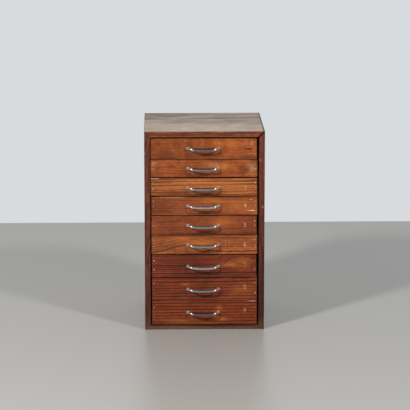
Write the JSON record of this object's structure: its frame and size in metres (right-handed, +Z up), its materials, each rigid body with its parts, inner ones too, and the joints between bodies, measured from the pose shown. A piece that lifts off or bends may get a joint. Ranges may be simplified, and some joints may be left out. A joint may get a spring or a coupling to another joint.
{
  "type": "type case cabinet",
  "caption": "Small free-standing mitred wooden cabinet of shallow drawers on side runners, with full-height fronts and chromed bow handles.",
  "frame": {"origin": "middle of the face that the case stands on", "axes": "+Z up, the drawers open towards -Y, +X is to the right when facing the fronts"},
  "size_m": [0.35, 0.3773, 0.59],
  "materials": {
    "case_wood": "worn brown stain and wax",
    "front_wood": "orange-brown stained softwood, satin",
    "tray_wood": "bare planed pine",
    "floor_board": "hardboard, smooth side up",
    "back_board": "raw plywood",
    "runner_wood": "bare hardwood, rubbed smooth",
    "handle_chrome": "polished, lightly worn",
    "nail_steel": "bright steel, dulled",
    "gilt_number": "pale gilt transfer"
  },
  "bodies": {
    "case": {"case_top": "case_wood", "case_base": "case_wood", "case_side_left": "case_wood", "case_side_right": "case_wood", "back_panel": "back_board", "back_panel_nails": "nail_steel", "corner_nails": "nail_steel", "runners_left": "runner_wood", "runners_right": "runner_wood", "runner_nails": "nail_steel"},
    "drawer_1": {"drawer_1_front": "front_wood", "drawer_1_box": "tray_wood", "drawer_1_floor": "floor_board", "drawer_1_handle": "handle_chrome", "drawer_1_fasteners": "nail_steel"},
    "drawer_2": {"drawer_2_front": "front_wood", "drawer_2_box": "tray_wood", "drawer_2_floor": "floor_board", "drawer_2_handle": "handle_chrome", "drawer_2_fasteners": "nail_steel"},
    "drawer_3": {"drawer_3_front": "front_wood", "drawer_3_box": "tray_wood", "drawer_3_floor": "floor_board", "drawer_3_handle": "handle_chrome", "drawer_3_fasteners": "nail_steel"},
    "drawer_4": {"drawer_4_front": "front_wood", "drawer_4_box": "tray_wood", "drawer_4_floor": "floor_board", "drawer_4_handle": "handle_chrome", "drawer_4_fasteners": "nail_steel"},
    "drawer_5": {"drawer_5_front": "front_wood", "drawer_5_box": "tray_wood", "drawer_5_floor": "floor_board", "drawer_5_handle": "handle_chrome", "drawer_5_fasteners": "nail_steel"},
    "drawer_6": {"drawer_6_front": "front_wood", "drawer_6_box": "tray_wood", "drawer_6_floor": "floor_board", "drawer_6_handle": "handle_chrome", "drawer_6_fasteners": "nail_steel"},
    "drawer_7": {"drawer_7_front": "front_wood", "drawer_7_box": "tray_wood", "drawer_7_floor": "floor_board", "drawer_7_handle": "handle_chrome", "drawer_7_fasteners": "nail_steel"},
    "drawer_8": {"drawer_8_front": "front_wood", "drawer_8_box": "tray_wood", "drawer_8_floor": "floor_board", "drawer_8_handle": "handle_chrome", "drawer_8_fasteners": "nail_steel"},
    "drawer_9": {"drawer_9_front": "front_wood", "drawer_9_box": "tray_wood", "drawer_9_floor": "floor_board", "drawer_9_handle": "handle_chrome", "drawer_9_fasteners": "nail_steel"}
  },
  "joints": [
    {"name": "drawer_1_slide", "type": "slide", "parent": "case", "child": "drawer_1", "axis": [0, -1, 0], "range_m": [0, 0.25]},
    {"name": "drawer_2_slide", "type": "slide", "parent": "case", "child": "drawer_2", "axis": [0, -1, 0], "range_m": [0, 0.25]},
    {"name": "drawer_3_slide", "type": "slide", "parent": "case", "child": "drawer_3", "axis": [0, -1, 0], "range_m": [0, 0.25]},
    {"name": "drawer_4_slide", "type": "slide", "parent": "case", "child": "drawer_4", "axis": [0, -1, 0], "range_m": [0, 0.25]},
    {"name": "drawer_5_slide", "type": "slide", "parent": "case", "child": "drawer_5", "axis": [0, -1, 0], "range_m": [0, 0.25]},
    {"name": "drawer_6_slide", "type": "slide", "parent": "case", "child": "drawer_6", "axis": [0, -1, 0], "range_m": [0, 0.25]},
    {"name": "drawer_7_slide", "type": "slide", "parent": "case", "child": "drawer_7", "axis": [0, -1, 0], "range_m": [0, 0.25]},
    {"name": "drawer_8_slide", "type": "slide", "parent": "case", "child": "drawer_8", "axis": [0, -1, 0], "range_m": [0, 0.25]},
    {"name": "drawer_9_slide", "type": "slide", "parent": "case", "child": "drawer_9", "axis": [0, -1, 0], "range_m": [0, 0.25]}
  ]
}
